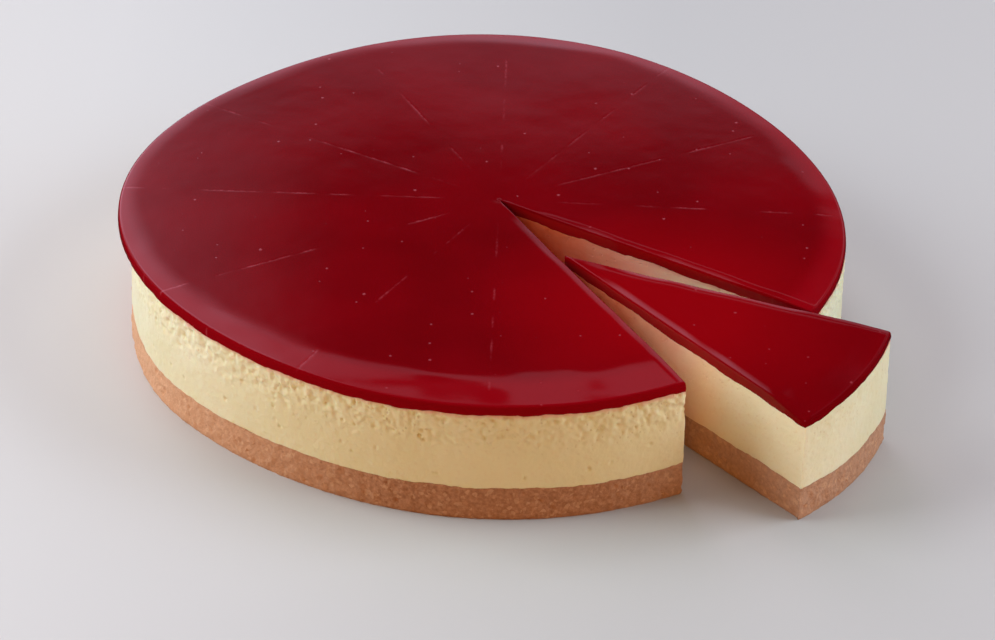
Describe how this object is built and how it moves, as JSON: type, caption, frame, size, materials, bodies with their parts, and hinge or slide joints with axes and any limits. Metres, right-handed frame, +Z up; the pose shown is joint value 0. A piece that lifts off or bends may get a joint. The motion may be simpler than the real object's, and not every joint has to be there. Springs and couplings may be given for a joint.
{
  "type": "raspberry cheesecake",
  "caption": "Round cheesecake with a biscuit base, cream filling and glossy red jelly top, marked into portions, one drawn partly out",
  "frame": {"origin": "middle of the whole cake's flat bottom, on the surface that it stands on", "axes": "+Z up through the layers, -Y towards the front of the cake, +X to its right; the drawn-out portion lies to the front right"},
  "size_m": [0.2563, 0.246, 0.0429],
  "materials": {
    "biscuit": "dry crumbly biscuit",
    "filling": "soft baked cream",
    "jelly": "glossy clear red jelly"
  },
  "bodies": {
    "root": {"cake_biscuit": "biscuit", "cake_filling": "filling", "cake_jelly": "jelly", "slice_biscuit": "biscuit", "slice_filling": "filling", "slice_jelly": "jelly"}
  },
  "joints": []
}
